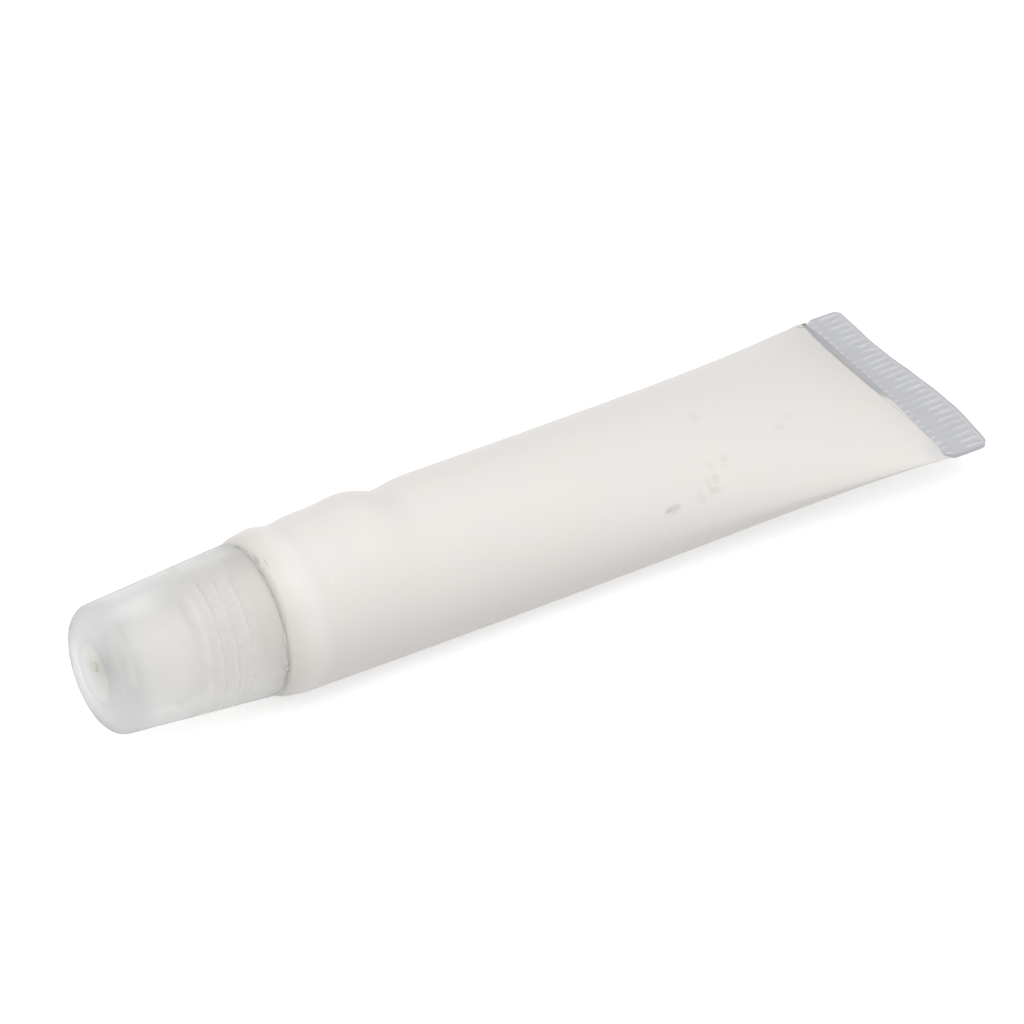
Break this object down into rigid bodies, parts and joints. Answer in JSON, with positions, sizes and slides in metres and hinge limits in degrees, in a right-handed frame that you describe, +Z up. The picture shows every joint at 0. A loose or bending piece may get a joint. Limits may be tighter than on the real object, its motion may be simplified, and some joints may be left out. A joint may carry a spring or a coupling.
{
  "type": "adhesive squeeze tube",
  "caption": "Soft translucent squeeze tube of white adhesive, flat crimped tail, round nozzle under a tapered frosted screw cap, lying on its belly.",
  "frame": {"origin": "On the table, in the middle of the tube's box", "axes": "+X along the tube from the cap to the crimped tail, +Z up from the table that the tube lies on, +Y across the tail"},
  "size_m": [0.1062, 0.0298, 0.0198],
  "materials": {
    "film": "soft translucent film",
    "moulded": "satin translucent moulding",
    "frosted": "frosted translucent moulding",
    "adhesive": "smooth white paste"
  },
  "bodies": {
    "tube": {"sleeve": "film", "head": "moulded", "adhesive": "adhesive"},
    "screw_cap": {"cap": "frosted"}
  },
  "joints": [
    {"name": "cap_off", "type": "slide", "parent": "tube", "child": "screw_cap", "axis": [-0.9973, 0, 0.0732], "range_m": [0, 0.024]}
  ]
}
